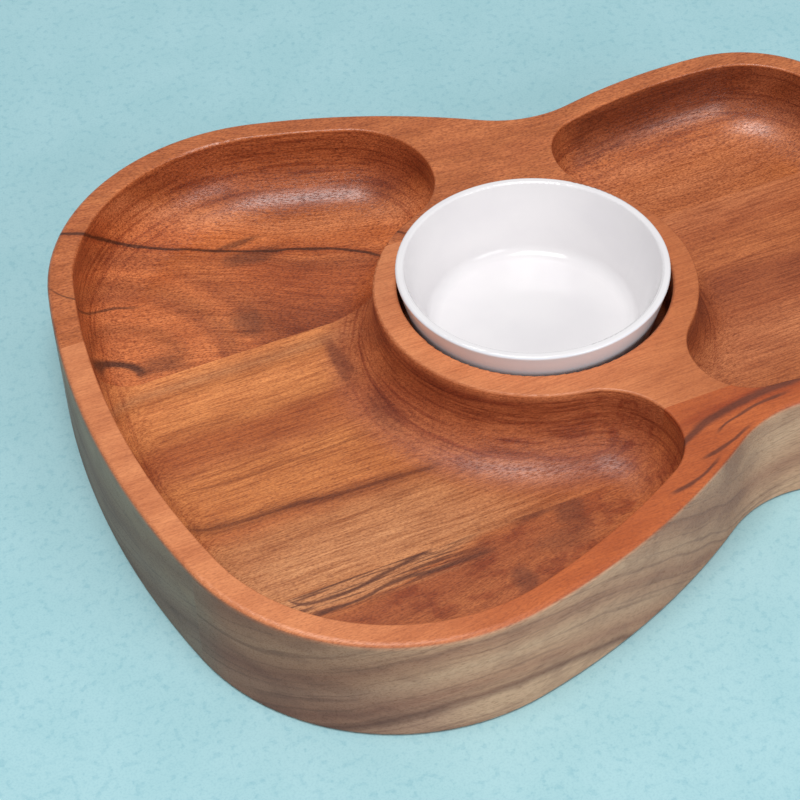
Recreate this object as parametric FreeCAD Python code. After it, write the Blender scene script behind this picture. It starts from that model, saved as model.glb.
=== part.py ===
import FreeCAD, Part
import math
import os

# A guitar-shaped wooden chip and dip server with a loose ceramic dip bowl.
# The board is glued up from three staves. A chip recess lies on each side of a ring of wood,
# and the bowl stands in the round well inside that ring.
# Units are millimetres. +X runs along the grain, from the wide end to the narrow end,
# +Y across the grain to the far side, and +Z up. The origin is at the centre of the board's
# outline, on its flat underside.

# Board
BOARD_THICKNESS = 52.0
TOP_EDGE_ROUND = 2.5
BOTTOM_EDGE_ROUND = 1.5
INNER_EDGE_ROUND = 1.0

# The far side of the board's outline, as tangent arcs from the wide end to the narrow end.
# Each has a radius, negative where the edge curves inward, and the heading of the edge where
# the arc ends, in degrees from +X. The side starts on the long axis, at right angles to it.
START_HEADING = 90.0
END_HEADING = -90.0
WIDE_END = (374.2, 76.5)
WIDE_BOUT = (96.7, -15.0)
FLANK = (309.2, -34.5)
WAIST = (-50.8, 13.0)
NARROW_BOUT = (239.2, -4.0)
NARROW_CORNER = (54.7, -75.0)
OUTLINE_ARCS = [WIDE_END, WIDE_BOUT, FLANK, WAIST, NARROW_BOUT, NARROW_CORNER]

# The near side, laid out on the +Y side too, is a little fuller at the waist. It shares the
# arcs of both ends, and one more arc, tangent to the last of these and to the narrow end's,
# makes its corner.
NEAR_WIDE_BOUT = (95.5, -10.5)
NEAR_FLANK = (297.0, -33.0)
NEAR_WAIST = (-50.0, 8.5)
NEAR_NARROW_BOUT = (575.0, 2.0)
NEAR_OUTLINE_ARCS = [WIDE_END, NEAR_WIDE_BOUT, NEAR_FLANK, NEAR_WAIST, NEAR_NARROW_BOUT]

# Glue joints between the staves, as distances from the long axis
FAR_JOINT_Y = 51.0
NEAR_JOINT_Y = -87.5

# Chip recesses: on both sides, their walls follow the far side's outline, one rim width inside
RIM_WIDTH = 11.2
RECESS_DEPTH = 33.5
COVE_RADIUS = 22.0

# The noses, where a recess wall turns away from the outline towards the ring. Each has the
# number of outline arcs that the wall follows, its heading where it leaves the last of them,
# the radius of the nose, and the heading at which the nose passes into the blend to the ring.
WIDE_FAR_NOSE = (3, -23.0, 40.0, -107.0)
WIDE_NEAR_NOSE = (3, -29.5, 27.0, -79.0)
NARROW_FAR_NOSE = (4, -9.5, 26.0, -73.0)
NARROW_NEAR_NOSE = (4, -2.0, 23.0, -75.0)

# Ring of wood, and the well inside it, which is not quite central
RING_Y = 2.0
RING_RADIUS = 68.2
WELL_X = 0.5
WELL_Y = 3.7
WELL_RADIUS = 57.8
WELL_DEPTH = 28.0
WELL_CORNER_RADIUS = 3.0

# Dip bowl, standing to one side of its well
BOWL_X = -0.9
BOWL_Y = 2.8
BOWL_HEIGHT = 38.0
BOWL_RIM_RADIUS = 57.5
BOWL_FOOT_RADIUS = 48.5
BOWL_RIM_WIDTH = 3.6
BOWL_FLOOR_THICKNESS = 5.0
BOWL_INNER_FLOOR_RADIUS = 43.5
BOWL_RIM_ROUND = 1.2
BOWL_INNER_CORNER_RADIUS = 6.0
BOWL_OUTER_CORNER_RADIUS = 6.0
FOOT_RING_INNER_RADIUS = 38.0
FOOT_RING_HEIGHT = 1.6
FOOT_RING_WIDTH = 4.5
FOOT_ROUND = 0.6

# How far a cutting tool stands out past the face that it cuts
OVERCUT = 5.0
# How near an edge lies to a level to count as being on it
LEVEL_TOLERANCE = 0.01


def arc_chain(start, heading, arcs):
    """Three points, first, middle and last, of each arc in a chain of tangent arcs."""
    chain = []
    x, y = start
    for radius, next_heading in arcs:
        centre_x = x + radius * math.sin(math.radians(heading))
        centre_y = y - radius * math.cos(math.radians(heading))
        points = []
        for angle in (heading, (heading + next_heading) / 2.0, next_heading):
            point_x = centre_x - radius * math.sin(math.radians(angle))
            point_y = centre_y + radius * math.cos(math.radians(angle))
            points.append((point_x, point_y))
        chain.append(points)
        x, y = points[-1]
        heading = next_heading
    return chain


def closed_outline_arcs():
    """The far side's arcs with the narrow end's, which has its centre on the long axis."""
    corner_y = arc_chain((0.0, 0.0), START_HEADING, OUTLINE_ARCS)[-1][-1][1]
    corner_heading = OUTLINE_ARCS[-1][1]
    end_radius = corner_y / math.cos(math.radians(corner_heading))
    return OUTLINE_ARCS + [(end_radius, END_HEADING)]


def seen_from_narrow_end(arcs):
    """The same arcs in the other order, with headings for a walk from the narrow end."""
    turned = []
    for index in reversed(range(len(arcs))):
        if index > 0:
            heading = -arcs[index - 1][1]
        else:
            heading = -START_HEADING
        turned.append((arcs[index][0], heading))
    return turned


def board_length(arcs):
    """Length of the board along its axis."""
    chain = arc_chain((0.0, 0.0), START_HEADING, arcs)
    return chain[-1][-1][0]


def near_outline_arcs(far_arcs):
    """The near side's arcs, with its narrow corner and the narrow end's arc."""
    length = board_length(far_arcs)
    end_radius = far_arcs[-1][0]
    start = (-length / 2.0, 0.0)
    bout_x, bout_y = arc_chain(start, START_HEADING, NEAR_OUTLINE_ARCS)[-1][-1]
    # The corner's centre is one corner radius to the right of the bout's end, and one corner
    # radius inside the end's arc, which gives its radius.
    bout_heading = math.radians(NEAR_OUTLINE_ARCS[-1][1])
    right_x = math.sin(bout_heading)
    right_y = -math.cos(bout_heading)
    reach_x = bout_x - (length / 2.0 - end_radius)
    along_right = reach_x * right_x + bout_y * right_y
    distance_squared = reach_x ** 2 + bout_y ** 2
    corner_radius = (end_radius ** 2 - distance_squared) / (2.0 * (end_radius + along_right))
    centre_x = reach_x + corner_radius * right_x
    centre_y = bout_y + corner_radius * right_y
    # At the end's arc, the outline runs at right angles to the line from that arc's centre.
    corner_heading = math.degrees(math.atan2(-centre_x, centre_y))
    return NEAR_OUTLINE_ARCS + [(corner_radius, corner_heading), (end_radius, END_HEADING)]


def mirrored(chain, x_sign, y_sign):
    """The chain of arcs mirrored in the long axis, the cross axis or both."""
    return [[(x * x_sign, y * y_sign) for x, y in points] for points in chain]


def flat_face(chain, z):
    """A face at height z inside a closed run of three-point arcs, given in any order."""
    edges = []
    for points in chain:
        corners = [FreeCAD.Vector(x, y, z) for x, y in points]
        edges.append(Part.Arc(*corners).toShape())
    return Part.Face(Part.Wire(Part.__sortEdges__(edges)))


def edges_at(shape, z):
    """Edges of the shape that lie flat at height z."""
    found = []
    for edge in shape.Edges:
        box = edge.BoundBox
        if abs(box.ZMin - z) < LEVEL_TOLERANCE and abs(box.ZMax - z) < LEVEL_TOLERANCE:
            found.append(edge)
    return found


def mouth_edges(board):
    """Edges round the mouths of the hollows in the board's top face."""
    found = []
    for face in board.Faces:
        box = face.BoundBox
        if box.ZMin < BOARD_THICKNESS - LEVEL_TOLERANCE:
            continue
        for wire in face.Wires:
            if not wire.isSame(face.OuterWire):
                found.extend(wire.Edges)
    return found


def recess_half(arcs, nose, ring_y):
    """Half of a recess's outline, from the long axis along the rim to the ring of wood.

    The half is laid out on the +Y side with the board's end at -X. The wall leaves the rim in
    a nose, and one more arc, tangent to the nose and to the ring, joins them.
    """
    arc_count, leave_heading, nose_radius, nose_heading = nose
    walls = [(radius - RIM_WIDTH, heading) for radius, heading in arcs[:arc_count]]
    walls[-1] = (walls[-1][0], leave_heading)
    walls.append((nose_radius, nose_heading))
    start = (RIM_WIDTH - board_length(arcs) / 2.0, 0.0)
    nose_x, nose_y = arc_chain(start, START_HEADING, walls)[-1][-1]
    # The blend's centre is one blend radius to the right of the nose's end, and one blend
    # radius outside the ring, which gives its radius.
    right_x = math.sin(math.radians(nose_heading))
    right_y = -math.cos(math.radians(nose_heading))
    reach_y = nose_y - ring_y
    along_right = nose_x * right_x + reach_y * right_y
    distance_squared = nose_x ** 2 + reach_y ** 2
    blend_radius = (distance_squared - RING_RADIUS ** 2) / (2.0 * (RING_RADIUS - along_right))
    centre_x = nose_x + blend_radius * right_x
    centre_y = reach_y + blend_radius * right_y
    # At the ring, the wall runs at right angles to the line from the ring's centre.
    ring_heading = math.degrees(math.atan2(centre_x, -centre_y))
    walls.append((blend_radius, ring_heading))
    return arc_chain(start, START_HEADING, walls)


def ring_arc(first, last, side_x):
    """The stretch of ring between two points, on the side of side_x."""
    return [first, (side_x * RING_RADIUS, RING_Y), last]


def recess_tool(arcs, far_nose, near_nose, x_sign):
    """The solid that is cut away for one recess, with a cove round its floor."""
    far_half = mirrored(recess_half(arcs, far_nose, RING_Y), x_sign, 1)
    near_half = mirrored(recess_half(arcs, near_nose, -RING_Y), x_sign, -1)
    ring = ring_arc(far_half[-1][-1], near_half[-1][-1], -x_sign)
    floor_z = BOARD_THICKNESS - RECESS_DEPTH
    floor = flat_face(far_half + near_half + [ring], floor_z)
    block = floor.extrude(FreeCAD.Vector(0, 0, RECESS_DEPTH + OVERCUT))
    return block.makeFillet(COVE_RADIUS, edges_at(block, floor_z))


def well_tool():
    """The solid that is cut away for the bowl's well."""
    floor_z = BOARD_THICKNESS - WELL_DEPTH
    centre = FreeCAD.Vector(WELL_X, WELL_Y, floor_z)
    block = Part.makeCylinder(WELL_RADIUS, WELL_DEPTH + OVERCUT, centre)
    return block.makeFillet(WELL_CORNER_RADIUS, edges_at(block, floor_z))


def make_board():
    """The whole board, before it is divided into its staves."""
    arcs = closed_outline_arcs()
    start = (-board_length(arcs) / 2.0, 0.0)
    far_side = arc_chain(start, START_HEADING, arcs)
    near_side = mirrored(arc_chain(start, START_HEADING, near_outline_arcs(arcs)), 1, -1)
    underside = flat_face(far_side + near_side, 0.0)
    board = underside.extrude(FreeCAD.Vector(0, 0, BOARD_THICKNESS))
    board = board.makeFillet(BOTTOM_EDGE_ROUND, edges_at(board, 0.0))
    board = board.makeFillet(TOP_EDGE_ROUND, edges_at(board, BOARD_THICKNESS))
    turned_arcs = seen_from_narrow_end(arcs)
    board = board.cut(recess_tool(arcs, WIDE_FAR_NOSE, WIDE_NEAR_NOSE, 1))
    board = board.cut(recess_tool(turned_arcs, NARROW_FAR_NOSE, NARROW_NEAR_NOSE, -1))
    board = board.cut(well_tool())
    return board.makeFillet(INNER_EDGE_ROUND, mouth_edges(board))


def make_staves(board):
    """The board divided at its glue joints."""
    box = board.BoundBox
    joints = [box.YMin - OVERCUT, NEAR_JOINT_Y, FAR_JOINT_Y, box.YMax + OVERCUT]
    staves = []
    for low_y, high_y in zip(joints[:-1], joints[1:]):
        corner = FreeCAD.Vector(box.XMin - OVERCUT, low_y, box.ZMin - OVERCUT)
        slab = Part.makeBox(
            box.XLength + 2 * OVERCUT, high_y - low_y, box.ZLength + 2 * OVERCUT, corner
        )
        staves.append(board.common(slab))
    return staves


def ring_profile(points):
    """A face in the XZ plane through the points, each a radius and a height."""
    corners = [FreeCAD.Vector(radius, 0, z) for radius, z in points]
    return Part.Face(Part.makePolygon(corners + corners[:1]))


def rounded_ring_edges(shape, radius, z, round_radius):
    """The shape with its circular edges at a given radius and height rounded."""
    edges = []
    for edge in edges_at(shape, z):
        if abs(edge.Curve.Radius - radius) < LEVEL_TOLERANCE:
            edges.append(edge)
    return shape.makeFillet(round_radius, edges)


def make_dip_bowl():
    """A shallow round bowl with flared walls, a rounded rim and a foot ring."""
    floor_z = FOOT_RING_HEIGHT + BOWL_FLOOR_THICKNESS
    rim_inner_radius = BOWL_RIM_RADIUS - BOWL_RIM_WIDTH
    foot_outer_radius = FOOT_RING_INNER_RADIUS + FOOT_RING_WIDTH
    section = ring_profile([
        (0.0, FOOT_RING_HEIGHT),
        (FOOT_RING_INNER_RADIUS, FOOT_RING_HEIGHT),
        (FOOT_RING_INNER_RADIUS, 0.0),
        (foot_outer_radius, 0.0),
        (foot_outer_radius, FOOT_RING_HEIGHT),
        (BOWL_FOOT_RADIUS, FOOT_RING_HEIGHT),
        (BOWL_RIM_RADIUS, BOWL_HEIGHT),
        (rim_inner_radius, BOWL_HEIGHT),
        (BOWL_INNER_FLOOR_RADIUS, floor_z),
        (0.0, floor_z),
    ])
    bowl = section.revolve(FreeCAD.Vector(0, 0, 0), FreeCAD.Vector(0, 0, 1), 360)
    bowl = rounded_ring_edges(bowl, BOWL_RIM_RADIUS, BOWL_HEIGHT, BOWL_RIM_ROUND)
    bowl = rounded_ring_edges(bowl, rim_inner_radius, BOWL_HEIGHT, BOWL_RIM_ROUND)
    bowl = rounded_ring_edges(bowl, BOWL_INNER_FLOOR_RADIUS, floor_z, BOWL_INNER_CORNER_RADIUS)
    bowl = rounded_ring_edges(bowl, BOWL_FOOT_RADIUS, FOOT_RING_HEIGHT, BOWL_OUTER_CORNER_RADIUS)
    bowl = rounded_ring_edges(bowl, foot_outer_radius, 0.0, FOOT_ROUND)
    bowl = rounded_ring_edges(bowl, FOOT_RING_INNER_RADIUS, 0.0, FOOT_ROUND)
    bowl.translate(FreeCAD.Vector(BOWL_X, BOWL_Y, BOARD_THICKNESS - WELL_DEPTH))
    return bowl


def main():
    """Writes one STEP file for each piece."""
    os.makedirs("parts", exist_ok=True)
    near_stave, middle_stave, far_stave = make_staves(make_board())
    pieces = {
        "near_stave": near_stave,
        "middle_stave": middle_stave,
        "far_stave": far_stave,
        "dip_bowl": make_dip_bowl(),
    }
    for name, shape in pieces.items():
        shape.exportStep("parts/" + name + ".step")
        box = shape.BoundBox
        print(name, shape.isValid(), len(shape.Solids), round(shape.Volume), box)


main()
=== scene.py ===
import math

import bpy
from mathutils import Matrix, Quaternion, Vector


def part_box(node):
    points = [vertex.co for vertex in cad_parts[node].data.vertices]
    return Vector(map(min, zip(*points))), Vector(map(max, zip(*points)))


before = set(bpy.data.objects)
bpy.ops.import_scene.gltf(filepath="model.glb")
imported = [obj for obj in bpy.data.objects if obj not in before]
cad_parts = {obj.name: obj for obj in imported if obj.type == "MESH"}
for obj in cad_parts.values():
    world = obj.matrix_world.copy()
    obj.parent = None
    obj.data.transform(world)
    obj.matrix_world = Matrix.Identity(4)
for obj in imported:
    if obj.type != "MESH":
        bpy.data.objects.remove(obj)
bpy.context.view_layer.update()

MM_PER_M = 1000.0

# Heights and places on the board, in mm.
BOARD_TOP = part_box("middle_stave")[1].z * MM_PER_M
RECESS_DEPTH = 33.5
RECESS_FLOOR = BOARD_TOP - RECESS_DEPTH
RING_CENTRE_Y = 2.0
BOWL_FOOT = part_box("dip_bowl")[0].z * MM_PER_M

# Wood colours.
SALMON = (0.68, 0.235, 0.092)
ORANGE = (0.51, 0.150, 0.048)
BRIGHT_ORANGE = (0.49, 0.112, 0.028)
RUSSET = (0.45, 0.122, 0.040)
FIERY = (0.64, 0.185, 0.058)
COPPER = (0.58, 0.190, 0.072)
PALE_TAN = (0.64, 0.270, 0.112)
TAN = (0.56, 0.212, 0.078)
HONEY = (0.73, 0.255, 0.080)
GOLD = (0.60, 0.200, 0.058)
BROWN = (0.51, 0.152, 0.046)
PINK_BROWN = (0.44, 0.115, 0.030)
RED_BROWN = (0.36, 0.090, 0.029)
DARK_VEIN = (0.09, 0.026, 0.012)
SAPWOOD = (0.66, 0.385, 0.235)
GREY_TAN = (0.59, 0.310, 0.180)
GREY_BROWN = (0.48, 0.225, 0.128)
DARK_GREY_BROWN = (0.29, 0.125, 0.070)
# Partly the wood's own colour, partly painted shade, in the cove left of the ring.
BOSS_BROWN_AND_SHADE = (0.45, 0.125, 0.048)
BOSS_SHADOW = (0.24, 0.060, 0.023)
RIM_ORANGE = (0.58, 0.175, 0.060)
KNOT_BROWN = (0.11, 0.036, 0.019)
SMUDGE_BROWN = (0.17, 0.055, 0.026)
BLOTCH_BROWN = (0.21, 0.058, 0.026)
STREAK_BROWN = (0.16, 0.052, 0.026)
SLANTING_VEIN = (0.14, 0.045, 0.024)
WAIST_VEIN = (0.13, 0.034, 0.018)

# Tones of the wood, and of painted shade and a painted reflection, which multiply a colour.
STREAK_TONE = (0.78, 0.68, 0.62)
FIBRE_TONE = (0.70, 0.60, 0.54)
PALE_FIBRE_TONE = (1.30, 1.38, 1.42)
MOTTLE_TONE = (0.84, 0.76, 0.72)
PALE_MOTTLE_TONE = (1.10, 1.16, 1.18)
PORE_TONE = (0.58, 0.47, 0.42)
GRIT_TONE = (0.60, 0.50, 0.46)
PALE_GRIT_TONE = (1.34, 1.42, 1.48)
WALL_LAYER_TONE = (0.64, 0.50, 0.47)
END_GRAIN_TONE = (0.92, 0.84, 0.80)
# Painted shade on the walls of the narrow recess.
NARROW_RECESS_SHADE_TONE = (0.62, 0.56, 0.58)
SIDE_FIBRE_TONE = (0.74, 0.70, 0.66)
SIDE_PORE_TONE = (0.66, 0.60, 0.56)
SIDE_SMUDGE_TONE = (0.80, 0.76, 0.76)
SIDE_END_TONE = (0.60, 0.52, 0.49)
# Painted reflection of the blue-green table on the wide end.
WIDE_END_TABLE_REFLECTION_TONE = (0.80, 1.12, 1.26)
# Painted shade low on the wide end's side.
LOW_CORNER_SHADE_TONE = (0.84, 0.78, 0.82)
BOSS_LAYER_TONE = (0.70, 0.54, 0.52)
STREAK_EDGE_TONE = (0.72, 0.68, 0.66)
STREAK_CORE_TONE = (0.62, 0.56, 0.56)
FAINT_VEIN_TONE = (0.75, 0.70, 0.68)
BESIDE_BOSS_TONE = (0.76, 0.64, 0.60)
BESIDE_VEIN_TONE = (0.74, 0.62, 0.58)
BLOTCH_TONE = (0.72, 0.58, 0.56)
WAIST_BAND_TONE = (0.74, 0.58, 0.54)
WOOD_ROUGHNESS = 0.44

# The bowl's and the table's colours.
GLAZE = (0.790, 0.762, 0.775)
PALE_GLAZE = (0.820, 0.792, 0.800)
# Painted light: the outer wall's glaze, lighter and bluer.
OUTER_GLAZE_PAINTED_LIGHT = (0.87, 0.91, 0.97)
GLAZE_SPECK = (0.22, 0.17, 0.14)
CLAY = (0.62, 0.56, 0.48)
PALE_CLAY = (0.78, 0.73, 0.66)
AQUA = (0.380, 0.634, 0.682)
PALE_AQUA = (0.404, 0.655, 0.703)
FLECK_TONE = (0.80, 0.88, 0.91)
PAINT_GRAIN_TONE = (0.87, 0.92, 0.94)

# The camera: places in metres, lens and sensor in mm, angles in degrees but for the roll.
CAMERA_AIM = (-0.0795, -0.0376)
CAMERA_DISTANCE = 0.9017
CAMERA_AZIMUTH = -22.1
CAMERA_ELEVATION = 44.25
CAMERA_ROLL_RADIANS = -0.0476
CAMERA_LENS = 102.2
CAMERA_SENSOR = 36.0

# The floor, in metres, and the even light from all round.
FLOOR_HALF_SIZE = 6.0
SKY_COLOUR = (0.95, 0.98, 1.0)
SKY_STRENGTH = 0.34


class Number:
    """A number that a material's nodes work out. Arithmetic on it adds Math nodes."""

    def __init__(self, graph, socket):
        self.graph = graph
        self.socket = socket

    def __add__(self, other):
        return self.graph.math("ADD", self, other)

    def __sub__(self, other):
        return self.graph.math("SUBTRACT", self, other)

    def __rsub__(self, other):
        return self.graph.math("SUBTRACT", other, self)

    def __mul__(self, other):
        return self.graph.math("MULTIPLY", self, other)

    def __truediv__(self, other):
        return self.graph.math("DIVIDE", self, other)

    __radd__ = __add__
    __rmul__ = __mul__


class Graph:
    """The nodes of one new material. Its texture space is the row's frame, in mm."""

    def __init__(self, name):
        self.material = bpy.data.materials.new(name)
        self.material.use_nodes = True
        self.tree = self.material.node_tree
        self.shader = self.tree.nodes["Principled BSDF"]
        coordinates = self.tree.nodes.new("ShaderNodeTexCoord")
        self.point = self.vector_math("MULTIPLY", coordinates.outputs["Object"], [MM_PER_M] * 3)
        self.x, self.y, self.z = self.split(self.point)
        self.normal_x, self.normal_y, self.normal_z = self.split(coordinates.outputs["Normal"])

    def put(self, socket, value):
        """Links a Number or a socket to the socket, or sets it to a plain value."""
        value = getattr(value, "socket", value)
        if isinstance(value, bpy.types.NodeSocket):
            self.tree.links.new(value, socket)
        else:
            socket.default_value = value

    def math(self, operation, *values):
        node = self.tree.nodes.new("ShaderNodeMath")
        node.operation = operation
        for socket, value in zip(node.inputs, values):
            self.put(socket, value)
        return Number(self, node.outputs[0])

    def vector_math(self, operation, *values):
        node = self.tree.nodes.new("ShaderNodeVectorMath")
        node.operation = operation
        for socket, value in zip(node.inputs, values):
            self.put(socket, value)
        return node.outputs[0]

    def split(self, vector):
        node = self.tree.nodes.new("ShaderNodeSeparateXYZ")
        self.put(node.inputs[0], vector)
        return [Number(self, output) for output in node.outputs]

    def join(self, x, y, z):
        node = self.tree.nodes.new("ShaderNodeCombineXYZ")
        for socket, value in zip(node.inputs, (x, y, z)):
            self.put(socket, value)
        return node.outputs[0]

    def step(self, value, start, end):
        """A smooth rise from 0 at start to 1 at end, or a fall if start is above end."""
        node = self.tree.nodes.new("ShaderNodeMapRange")
        node.interpolation_type = "SMOOTHSTEP"
        self.put(node.inputs["Value"], value)
        self.put(node.inputs["From Min"], min(start, end))
        self.put(node.inputs["From Max"], max(start, end))
        rise = Number(self, node.outputs[0])
        return rise if start < end else 1.0 - rise

    def noise(self, point, size, detail=2.0, seed=0.0):
        """Noise from 0 to 1 around 0.5, whose lumps have the given size along each axis."""
        scaled = self.vector_math("MULTIPLY_ADD", point, [1.0 / length for length in size], [seed] * 3)
        node = self.tree.nodes.new("ShaderNodeTexNoise")
        self.put(node.inputs["Vector"], scaled)
        self.put(node.inputs["Scale"], 1.0)
        self.put(node.inputs["Detail"], detail)
        return Number(self, node.outputs["Fac"])

    def spots(self, point, size, radius, share):
        """Sparse round spots: a share of the cells of the given size has one."""
        node = self.tree.nodes.new("ShaderNodeTexVoronoi")
        self.put(node.inputs["Vector"], point)
        self.put(node.inputs["Scale"], 1.0 / size)
        chosen = self.step(self.split(node.outputs["Color"])[0], share + 0.01, share)
        return self.step(node.outputs["Distance"], radius / size, 0.5 * radius / size) * chosen

    def curve(self, value, points):
        """A smooth curve through the points, which run from the lowest value to the highest."""
        start, end = points[0][0], points[-1][0]
        low, high = min(y for _, y in points), max(y for _, y in points)
        places = [((x - start) / (end - start), (y - low) / (high - low)) for x, y in points]
        node = self.tree.nodes.new("ShaderNodeFloatCurve")
        spline = node.mapping.curves[0]
        spline.points[0].location = places[0]
        spline.points[1].location = places[-1]
        for place in places[1:-1]:
            spline.points.new(*place)
        node.mapping.update()
        self.put(node.inputs["Value"], (value - start) * (1.0 / (end - start)))
        return Number(self, node.outputs[0]) * (high - low) + low

    def bands(self, value, stops):
        """A colour that goes from stop to stop as the value rises."""
        start, end = stops[0][0], stops[-1][0]
        node = self.tree.nodes.new("ShaderNodeValToRGB")
        elements = node.color_ramp.elements
        for place, colour in stops[1:-1]:
            elements.new((place - start) / (end - start)).color = (*colour, 1.0)
        elements[0].color = (*stops[0][1], 1.0)
        elements[-1].color = (*stops[-1][1], 1.0)
        self.put(node.inputs[0], (value - start) * (1.0 / (end - start)))
        return node.outputs["Color"]

    def mix(self, factor, below, above, blend="MIX"):
        """A colour that goes from the one below to the one above as the factor rises."""
        node = self.tree.nodes.new("ShaderNodeMix")
        node.data_type = "RGBA"
        node.blend_type = blend
        colours = [socket for socket in node.inputs if socket.type == "RGBA"]
        self.put(node.inputs[0], factor)
        for socket, colour in zip(colours, (below, above)):
            self.put(socket, (*colour, 1.0) if isinstance(colour, tuple) else colour)
        return next(output for output in node.outputs if output.type == "RGBA")

    def tint(self, factor, colour, tone):
        """The colour, multiplied by the tone as far as the factor says."""
        return self.mix(factor, colour, tone, "MULTIPLY")

    def bump(self, height_mm, strength):
        """Makes the shader see the surface as if it had this relief."""
        node = self.tree.nodes.new("ShaderNodeBump")
        self.put(node.inputs["Strength"], strength)
        self.put(node.inputs["Distance"], 1.0 / MM_PER_M)
        self.put(node.inputs["Height"], height_mm)
        self.tree.links.new(node.outputs["Normal"], self.shader.inputs["Normal"])

    def finish(self, colour, roughness):
        """Gives the shader its colour and roughness, and returns the finished material."""
        self.put(self.shader.inputs["Base Color"], colour)
        self.put(self.shader.inputs["Roughness"], roughness)
        return self.material


def vein(g, points, width, across):
    """How much of a dark vein is here. Its points are places along and across the grain."""
    thickness = width * (0.4 + 1.2 * g.noise(g.point, (14, 14, 14), seed=width))
    distance = g.math("ABSOLUTE", across - g.curve(g.x, points)) / thickness
    start = g.step(g.x, points[0][0] - 4, points[0][0] + 2)
    end = g.step(g.x, points[-1][0] + 8, points[-1][0] - 2)
    return g.step(distance, 1.0, 0.25) * start * end


def patch(g, centre, half_size):
    """How much of a soft, ragged oval patch is here, seen from above."""
    along = (g.x - centre[0]) * (1.0 / half_size[0])
    across = (g.y - centre[1]) * (1.0 / half_size[1])
    ragged = 1.3 * (g.noise(g.point, (half_size[0], half_size[1], 20), detail=3.0) - 0.5)
    distance = g.math("SQRT", along * along + across * across) + ragged
    return g.step(distance, 1.15, 0.35)


def outer_side(g):
    """1 on the board's upright outer side, and 0 on its top, in its recesses and in its well."""
    radius = g.math("SQRT", g.x * g.x + g.y * g.y)
    outward = g.step((g.x * g.normal_x + g.y * g.normal_y) / radius, 0.15, 0.45)
    upright = g.step(g.math("ABSOLUTE", g.normal_z), 0.72, 0.35)
    wide_of_waist = g.step(g.math("ABSOLUTE", g.y), 98, 102)
    near_an_end = g.step(g.math("ABSOLUTE", g.x), 150, 154)
    return outward * upright * g.math("MAXIMUM", wide_of_waist, near_an_end)


def side_colour(g, rings):
    """The layered grey-brown of the outer side, darker at the ends, with painted shade low on the wide
    end and a painted blue-green reflection of the table over the wide end.

    The rings say how far, in mm, the layers rise here.
    """
    waves = 7.0 * (g.noise(g.point, (45, 45, 16), detail=4.0, seed=3.0) - 0.5)
    layer = g.z - rings + waves
    colour = g.bands(layer, [
        (-10, GREY_TAN),
        (4, SAPWOOD),
        (13, SAPWOOD),
        (17, DARK_GREY_BROWN),
        (20, GREY_TAN),
        (24, GREY_BROWN),
        (28, GREY_TAN),
        (36, SAPWOOD),
        (42, GREY_TAN),
        (47, GREY_BROWN),
        (51, GREY_TAN),
        (60, SAPWOOD),
        (68, GREY_TAN),
        (74, GREY_BROWN),
        (80, GREY_TAN),
        (92, SAPWOOD),
        (110, GREY_TAN),
    ])
    lines = g.noise(g.join(g.x * 0.011, g.y * 0.011, layer), (1, 1, 2.0), detail=3.0)
    colour = g.mix(g.step(lines, 0.52, 0.70) * 0.55, colour, DARK_GREY_BROWN)
    smudge = g.noise(g.point, (16, 16, 7), detail=4.0, seed=8.0)
    colour = g.tint(g.step(smudge, 0.46, 0.64) * 0.7, colour, SIDE_SMUDGE_TONE)
    # Painted shade: the side is darkened low down towards the wide end.
    shaded_low_corner = g.step(g.x, -95, -130) * g.step(g.z, 38, 16)
    colour = g.tint(shaded_low_corner, colour, LOW_CORNER_SHADE_TONE)
    end_grain = g.math("ABSOLUTE", g.normal_x)
    colour = g.tint(g.step(end_grain, 0.10, 0.75), colour, SIDE_END_TONE)
    # Painted reflection: the wide end is tinted blue-green as if lit by the table.
    return g.tint(g.step(g.normal_x, -0.90, -1.0), colour, WIDE_END_TABLE_REFLECTION_TONE)


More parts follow.
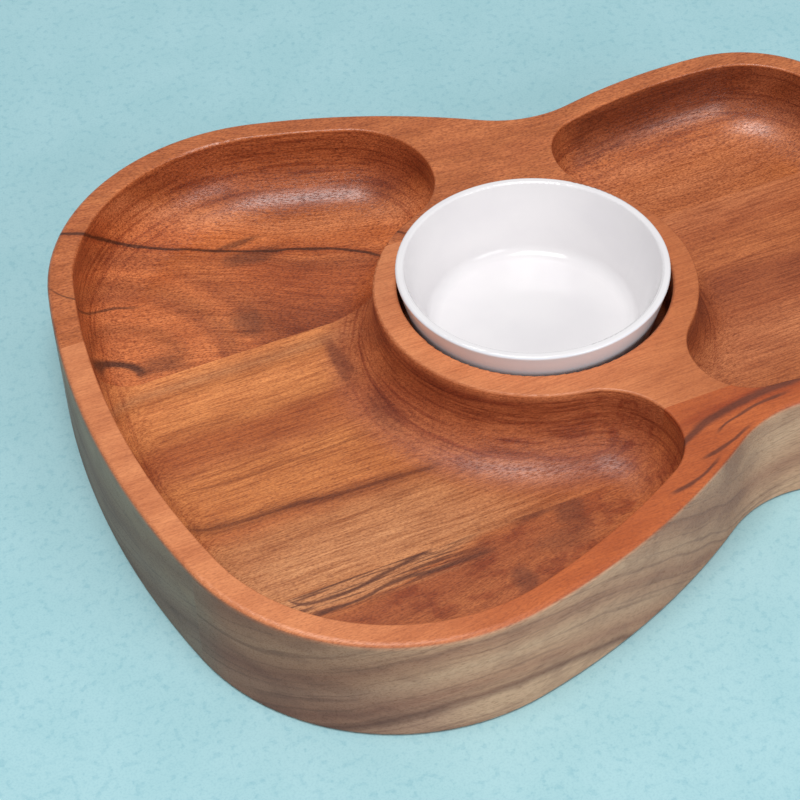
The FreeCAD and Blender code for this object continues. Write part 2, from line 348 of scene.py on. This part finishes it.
def finish_wood(g, colour, flow, side, speckle, lines, top_calm, gloss):
    """Adds fibres, pores, end grain, the outer side and the satin oil finish to a stave's figure.

    Flow is the point measured along and across the grain. Speckle and lines say how strongly pores
    and fibres show, top_calm how much weaker they are on the top face, and gloss how smooth the
    finish is.
    """
    fibre = g.noise(flow, (15, 0.75, 0.75), detail=2.0)
    streak = g.noise(flow, (60, 2.6, 2.6), detail=2.0, seed=5.0)
    pore = g.step(g.noise(flow, (2.4, 0.42, 0.42), detail=1.0, seed=9.0), 0.53, 0.68)
    grit = g.noise(g.point, (1.3, 0.6, 0.6), detail=1.0, seed=13.0)
    mottle = g.noise(g.point, (26, 12, 12), detail=3.0, seed=2.0)
    layer = g.noise(g.join(g.x * 0.03, g.y * 0.03, g.z), (1, 1, 1.5), detail=2.0, seed=11.0)
    top = g.step(g.z, BOARD_TOP - 1.5, BOARD_TOP - 0.3)
    figure = 1.0 - top_calm * top
    end_grain = g.step(g.math("ABSOLUTE", g.normal_x), 0.25, 0.95)

    colour = g.tint(g.step(streak, 0.45, 0.72) * 0.55 * lines * figure, colour, STREAK_TONE)
    colour = g.tint(g.step(fibre, 0.46, 0.70) * lines * figure, colour, FIBRE_TONE)
    colour = g.tint(g.step(fibre, 0.48, 0.28) * 0.5 * lines * figure, colour, PALE_FIBRE_TONE)
    colour = g.tint(g.step(mottle, 0.42, 0.68) * 0.7, colour, MOTTLE_TONE)
    colour = g.tint(g.step(mottle, 0.48, 0.30) * 0.6, colour, PALE_MOTTLE_TONE)
    colour = g.tint(pore * speckle * figure, colour, PORE_TONE)
    colour = g.tint(g.step(grit, 0.50, 0.68) * speckle * figure, colour, GRIT_TONE)
    colour = g.tint(g.step(grit, 0.50, 0.32) * speckle * 0.6 * figure, colour, PALE_GRIT_TONE)
    sloping = g.step(g.normal_z, 0.97, 0.75)
    colour = g.tint(g.step(layer, 0.48, 0.66) * sloping * (1.0 - top) * 0.85, colour, WALL_LAYER_TONE)
    colour = g.tint(end_grain, colour, END_GRAIN_TONE)
    # Painted shade: the walls of the narrow recess are darkened.
    shaded_narrow_wall = g.step(g.x, 58, 72) * g.step(g.normal_z, 0.8, 0.4) * (1.0 - top)
    colour = g.tint(shaded_narrow_wall, colour, NARROW_RECESS_SHADE_TONE)

    side = g.tint(g.step(fibre, 0.46, 0.70) * 0.6, side, SIDE_FIBRE_TONE)
    side = g.tint(pore * 0.5, side, SIDE_PORE_TONE)
    outer = outer_side(g)
    colour = g.mix(outer, colour, side)
    underside = g.step(g.normal_z, -0.7, -0.9)
    colour = g.mix(underside * 0.5, colour, TAN)

    roughness = WOOD_ROUGHNESS - gloss + 0.10 * fibre + 0.16 * pore + 0.10 * end_grain + 0.05 * outer
    g.bump((0.05 * fibre - 0.09 * pore + 0.08 * streak) * figure, 0.5)
    return g.finish(colour, roughness)


def long_side_rings(g):
    """How far the growth rings rise on the long sides: highest beside the wide bout."""
    return g.curve(g.x, [
        (-195, -34), (-171, -23), (-151, -14), (-125, -4), (-100, 0), (-63, -5), (-28, -18),
        (12, -42), (45, -56), (100, -44), (195, -60),
    ])


def middle_stave_wood():
    """Straight golden grain, redder towards the narrow end, with one dark streak."""
    g = Graph("middle_stave_wood")
    sway = 5.0 * (g.noise(g.point, (90, 30, 30), seed=1.0) - 0.5)
    ring = g.y + sway + 1.5 * g.math("MAXIMUM", g.z - RECESS_FLOOR, 0.0)
    wide_end = g.bands(ring, [
        (-92, TAN),
        (-80, PALE_TAN),
        (-72, PALE_TAN),
        (-54, TAN),
        (-46, BROWN),
        (-38, GOLD),
        (-14, GOLD),
        (-5, BROWN),
        (0, PINK_BROWN),
        (8, PINK_BROWN),
        (16, GOLD),
        (32, HONEY),
        (38, GOLD),
        (43, TAN),
        (49, HONEY),
        (56, HONEY),
        (68, BROWN),
        (80, GOLD),
        (110, TAN),
    ])
    narrow_end = g.bands(ring, [
        (-92, ORANGE),
        (-60, ORANGE),
        (-44, COPPER),
        (-30, COPPER),
        (-20, RUSSET),
        (-9, RED_BROWN),
        (0, RED_BROWN),
        (10, ORANGE),
        (22, ORANGE),
        (34, RUSSET),
        (46, COPPER),
        (60, ORANGE),
        (80, COPPER),
        (110, ORANGE),
    ])
    colour = g.mix(g.step(g.x, -88, -8), wide_end, narrow_end)
    beyond_centre = g.y - RING_CENTRE_Y
    from_ring = g.math("SQRT", g.x * g.x + beyond_centre * beyond_centre) + 1.6 * sway
    beside_ring = g.step(from_ring, 96, 82) * g.step(g.x, 40, 0) * g.step(g.z, 6, 12)
    # Left of the ring the cove is darker red-brown: partly the wood's own colour, partly painted
    # shade.
    colour = g.mix(beside_ring * 0.65, colour, BOSS_BROWN_AND_SHADE)
    strata = g.noise(g.join(g.x * 0.02, from_ring, g.z), (1, 2.6, 5), detail=3.0, seed=17.0)
    sloping = g.step(g.normal_z, 0.995, 0.90)
    colour = g.tint(g.step(strata, 0.48, 0.66) * beside_ring * sloping, colour, BOSS_LAYER_TONE)
    # Painted shadow along the cove left of the ring.
    for centre, half_size, strength in (
        ((-80, 27), (5, 20), 0.75),
        ((-77, -14), (5, 18), 0.45),
    ):
        colour = g.mix(patch(g, centre, half_size) * strength, colour, BOSS_SHADOW)
    across = g.y + 0.4 * sway
    streak = [(-172, -39), (-150, -41), (-128, -42), (-112, -44.5), (-92, -45.5), (-72, -47)]
    colour = g.tint(vein(g, streak, 5.5, across), colour, STREAK_EDGE_TONE)
    colour = g.tint(vein(g, streak, 1.6, across), colour, STREAK_CORE_TONE)
    faint_vein = [(-162, -17), (-120, -19), (-88, -18)]
    colour = g.tint(vein(g, faint_vein, 1.2, across), colour, FAINT_VEIN_TONE)
    top = g.mix(g.step(g.x, -40, 60), SALMON, ORANGE)
    colour = g.mix(g.step(g.z, BOARD_TOP - 6, BOARD_TOP - 0.8), colour, top)
    rounding = 30.0
    arch = g.math("SQRT", g.y * g.y + rounding * rounding)
    side = side_colour(g, 0.38 * arch - 62)
    flow = g.join(g.x, ring, g.z)
    return finish_wood(g, colour, flow, side, speckle=0.55, lines=1.0, top_calm=0.55, gloss=0.08)


def far_stave_wood():
    """Red-brown heartwood: oval rings around a knot, and a thin wandering vein on their far side."""
    g = Graph("far_stave_wood")
    lift = g.math("MAXIMUM", g.z - RECESS_FLOOR, 0.0)
    sway = 3.0 * (g.noise(g.point, (18, 18, 18), seed=4.0) - 0.5)
    across = g.y + 0.8 * lift + sway
    below_vein = across - g.curve(g.x, [
        (-195, 138), (-150, 134), (-105, 118), (-40, 86), (40, 76), (195, 76),
    ])
    along = g.x + 165
    up = 0.83 * (g.y - 62)
    wander = 10.0 * (g.noise(g.point, (40, 40, 40), seed=6.0) - 0.5)
    oval = g.math("SQRT", along * along + up * up) + wander + 0.9 * lift
    rings = g.bands(oval, [
        (0, FIERY),
        (16, FIERY),
        (24, ORANGE),
        (29, FIERY),
        (37, FIERY),
        (41, RUSSET),
        (47, ORANGE),
        (54, FIERY),
        (60, RUSSET),
        (66, ORANGE),
        (140, ORANGE),
    ])
    straight = g.bands(below_vein, [
        (-80, RUSSET),
        (-56, RED_BROWN),
        (-42, RUSSET),
        (-26, FIERY),
        (-12, FIERY),
        (-3, RUSSET),
        (4, FIERY),
        (14, FIERY),
        (26, SALMON),
        (34, ORANGE),
        (44, RED_BROWN),
        (54, RUSSET),
    ])
    colour = g.mix(g.step(oval, 52, 78), rings, straight)
    beside_boss = g.step(g.x, -122, -78) * g.step(below_vein, 2, -10)
    colour = g.tint(beside_boss, colour, BESIDE_BOSS_TONE)
    narrow_end = g.bands(g.y + sway + 0.5 * lift, [
        (50, ORANGE),
        (57, ORANGE),
        (66, COPPER),
        (88, COPPER),
        (94, ORANGE),
        (102, COPPER),
        (110, RED_BROWN),
        (124, RED_BROWN),
    ])
    colour = g.mix(g.step(g.x, 30, 80), colour, narrow_end)
    cloud = g.noise(g.point, (22, 9, 9), detail=3.0)
    top = g.mix(g.step(cloud, 0.35, 0.65), RIM_ORANGE, ORANGE)
    colour = g.mix(g.step(g.z, BOARD_TOP - 5, BOARD_TOP - 0.8), colour, top)

    knot = g.math("SQRT", (along + 2.5) * (along + 2.5) + (g.y - 56) * (g.y - 56)) + 0.6 * wander
    knot_line = g.step(knot, 6.0, 8.0) * g.step(knot, 12.5, 9.5)
    colour = g.mix(knot_line * g.step(g.y, 52, 60) * 0.95, colour, KNOT_BROWN)
    for centre, half_size, strength in (
        ((-150, 59), (13, 7), 0.55),
        ((-106, 67), (9, 12), 0.55),
        ((-88, 108), (15, 6), 0.6),
        ((-92, 119), (13, 3), 0.7),
    ):
        colour = g.mix(patch(g, centre, half_size) * strength, colour, SMUDGE_BROWN)
    main_vein = [
        (-172, 149), (-161, 144), (-149, 141), (-138, 136.5), (-122, 129.5), (-102, 119),
        (-86, 110.5), (-67, 102.5), (-52, 95), (-38, 84),
    ]
    second_vein = [(-184, 113), (-178, 105), (-171, 100.5), (-161, 101), (-150, 99)]
    colour = g.tint(vein(g, main_vein, 5.0, across) * 0.7, colour, BESIDE_VEIN_TONE)
    colour = g.mix(vein(g, main_vein, 1.5, across) * 0.9, colour, DARK_VEIN)
    colour = g.mix(vein(g, second_vein, 1.2, across) * 0.7, colour, DARK_VEIN)
    flow = g.join(g.x, below_vein, g.z)
    side = side_colour(g, long_side_rings(g))
    return finish_wood(g, colour, flow, side, speckle=0.9, lines=0.9, top_calm=0.3, gloss=0.21)


def near_stave_wood():
    """Tan grain that breaks up into dark slanting streaks over red-brown heartwood."""
    g = Graph("near_stave_wood")
    sway = 4.0 * (g.noise(g.point, (40, 12, 12), seed=7.0) - 0.5)
    lift = g.math("MAXIMUM", g.z - RECESS_FLOOR, 0.0)
    across = g.y + sway
    trend = g.curve(g.x, [(-195, -96), (-140, -100), (-95, -97), (-60, -89), (0, -86), (195, -90)])
    below_streak = across - trend + 0.5 * lift
    colour = g.bands(below_streak, [
        (-60, ORANGE),
        (-34, RUSSET),
        (-22, ORANGE),
        (-12, RUSSET),
        (-5, RUSSET),
        (0, BROWN),
        (4, PALE_TAN),
        (26, PALE_TAN),
        (50, TAN),
    ])
    colour = g.mix(g.step(g.x, -55, -15), colour, ORANGE)
    blotch = g.noise(g.point, (12, 7, 12), detail=3.0, seed=21.0)
    colour = g.tint(g.step(blotch, 0.46, 0.64) * g.step(below_streak, 4, -4), colour, BLOTCH_TONE)
    streaks = g.noise(g.join(g.x, across, g.z), (26, 1.3, 3.0), detail=2.0, seed=12.0)
    among_streaks = g.step(across, -103, -98) * g.step(across, -84, -88) * g.step(g.x, -60, -90)
    colour = g.mix(g.step(streaks, 0.50, 0.40) * among_streaks * 0.6, colour, PALE_TAN)
    colour = g.mix(g.step(streaks, 0.48, 0.60) * among_streaks * 0.8, colour, STREAK_BROWN)
    for points, width in (
        ([(-156, -85.5), (-132, -87), (-114, -86.5), (-93, -88.5)], 1.5),
        ([(-149, -89.5), (-129, -93.5), (-114, -91.5), (-93, -88)], 1.4),
        ([(-142, -99.5), (-122, -98.5), (-107, -96.5), (-95, -98), (-74, -98)], 1.3),
    ):
        colour = g.mix(vein(g, points, width, across) * 0.85, colour, SLANTING_VEIN)
    for centre, half_size, strength in (
        ((-48, -87), (15, 4), 0.75),
        ((-31, -92), (9, 9), 0.7),
        ((-40, -105), (16, 7), 0.45),
        ((-63, -118), (6, 9), 0.7),
        ((-76, -97), (10, 4), 0.6),
    ):
        colour = g.mix(patch(g, centre, half_size) * strength, colour, BLOTCH_BROWN)
    top = g.mix(g.step(g.x, -160, -60), SALMON, BRIGHT_ORANGE)
    dark_band = patch(g, (44, -97), (34, 7))
    top = g.tint(dark_band, top, WAIST_BAND_TONE)
    for points, width in (
        ([(-4, -110), (9, -107), (16, -104), (25, -101), (40, -98), (70, -95.5)], 3.0),
        ([(14, -117.5), (22, -116), (34, -112)], 1.2),
        ([(-6, -129), (4, -127.5), (14, -123)], 1.2),
        ([(26, -107), (38, -103), (56, -101)], 1.0),
    ):
        top = g.mix(vein(g, points, width, across) * 0.85, top, WAIST_VEIN)
    colour = g.mix(g.step(g.z, BOARD_TOP - 6, BOARD_TOP - 0.8), colour, top)
    flow = g.join(g.x, below_streak, g.z)
    side = side_colour(g, long_side_rings(g))
    waist_smudge = patch(g, (24, -121), (13, 9)) * g.step(g.z, 26, 42)
    side = g.mix(waist_smudge * 0.6, side, DARK_GREY_BROWN)
    return finish_wood(g, colour, flow, side, speckle=0.6, lines=0.6, top_calm=0.5, gloss=0.06)


def bowl_glaze():
    """A glossy white glaze with faint waves and specks, painted light on its outer wall, and a bare
    foot ring.
    """
    g = Graph("bowl_glaze")
    waves = g.noise(g.point, (24, 24, 24), detail=1.0)
    cloud = g.noise(g.point, (30, 30, 18), detail=3.0, seed=2.0)
    colour = g.mix(g.step(cloud, 0.35, 0.65), GLAZE, PALE_GLAZE)
    low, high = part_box("dip_bowl")
    from_centre_x = g.x - 0.5 * MM_PER_M * (low.x + high.x)
    from_centre_y = g.y - 0.5 * MM_PER_M * (low.y + high.y)
    # Painted light: the outer wall is made lighter and bluer than the inner wall.
    outward = from_centre_x * g.normal_x + from_centre_y * g.normal_y
    lit_outer_wall = g.step(outward, 30, 50)
    colour = g.mix(lit_outer_wall, colour, OUTER_GLAZE_PAINTED_LIGHT)
    colour = g.mix(g.spots(g.point, 13.0, 0.45, 0.2) * 0.7, colour, GLAZE_SPECK)
    bare = g.step(g.z, BOWL_FOOT + 0.9, BOWL_FOOT + 0.4)
    grit = g.noise(g.point, (0.6, 0.6, 0.6), detail=3.0)
    colour = g.mix(bare, colour, g.mix(grit, CLAY, PALE_CLAY))
    g.bump(0.05 * waves + 0.06 * bare * grit, 0.4)
    return g.finish(colour, 0.10 + 0.05 * cloud + 0.6 * bare)


def table_paint():
    """Pale aqua paint, lightly clouded and flecked."""
    g = Graph("table_paint")
    cloud = g.noise(g.point, (32, 32, 32), detail=6.0)
    fleck = g.noise(g.point, (3.5, 3.5, 3.5), detail=5.0, seed=3.0)
    colour = g.mix(g.step(cloud, 0.35, 0.65), AQUA, PALE_AQUA)
    colour = g.tint(g.step(fleck, 0.50, 0.70) * 0.8, colour, FLECK_TONE)
    grain = g.noise(g.point, (0.9, 0.9, 0.9), detail=2.0, seed=6.0)
    colour = g.tint(g.step(grain, 0.45, 0.66) * 0.8, colour, PAINT_GRAIN_TONE)
    g.bump(0.12 * fleck, 0.3)
    return g.finish(colour, 0.62 + 0.1 * fleck)


def add_floor():
    half = FLOOR_HALF_SIZE
    mesh = bpy.data.meshes.new("floor")
    corners = [(-half, -half, 0), (half, -half, 0), (half, half, 0), (-half, half, 0)]
    mesh.from_pydata(corners, [], [(0, 1, 2, 3)])
    floor = bpy.data.objects.new("floor", mesh)
    bpy.context.scene.collection.objects.link(floor)
    mesh.materials.append(table_paint())


def add_camera():
    """The photograph's viewpoint: 44 degrees up, a little to the wide end's side."""
    aim = Vector((*CAMERA_AIM, BOARD_TOP / MM_PER_M))
    azimuth = math.radians(CAMERA_AZIMUTH)
    elevation = math.radians(CAMERA_ELEVATION)
    back = Vector((
        math.sin(azimuth) * math.cos(elevation),
        -math.cos(azimuth) * math.cos(elevation),
        math.sin(elevation),
    ))
    data = bpy.data.cameras.new("camera")
    data.lens = CAMERA_LENS
    data.sensor_width = CAMERA_SENSOR
    camera = bpy.data.objects.new("camera", data)
    camera.rotation_mode = "QUATERNION"
    camera.location = aim + CAMERA_DISTANCE * back
    roll = Quaternion((0, 0, 1), CAMERA_ROLL_RADIANS)
    camera.rotation_quaternion = (-back).to_track_quat("-Z", "Y") @ roll
    bpy.context.scene.collection.objects.link(camera)
    bpy.context.scene.camera = camera


def add_softbox(name, direction, distance, size, power):
    """A square area light that looks at the origin from the given direction."""
    data = bpy.data.lights.new(name, "AREA")
    data.shape = "SQUARE"
    data.size = size
    data.energy = power
    light = bpy.data.objects.new(name, data)
    light.location = distance * Vector(direction).normalized()
    light.rotation_mode = "QUATERNION"
    light.rotation_quaternion = (-light.location).to_track_quat("-Z", "Y")
    bpy.context.scene.collection.objects.link(light)


def add_lights():
    add_softbox("key", direction=(-0.18, -0.18, 0.95), distance=2.3, size=1.1, power=37.0)
    add_softbox("front_fill", direction=(0.30, -0.88, 0.42), distance=2.4, size=1.2, power=17.0)
    world = bpy.data.worlds.new("world")
    bpy.context.scene.world = world
    world.use_nodes = True
    background = world.node_tree.nodes["Background"]
    background.inputs["Color"].default_value = (*SKY_COLOUR, 1.0)
    background.inputs["Strength"].default_value = SKY_STRENGTH


add_camera()
add_floor()
add_lights()
bpy.context.scene.view_settings.view_transform = "Standard"

MATERIALS = {
    "far_stave": far_stave_wood,
    "middle_stave": middle_stave_wood,
    "near_stave": near_stave_wood,
    "dip_bowl": bowl_glaze,
}
for node_name, make_material in MATERIALS.items():
    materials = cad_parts[node_name].data.materials
    materials.clear()
    materials.append(make_material())
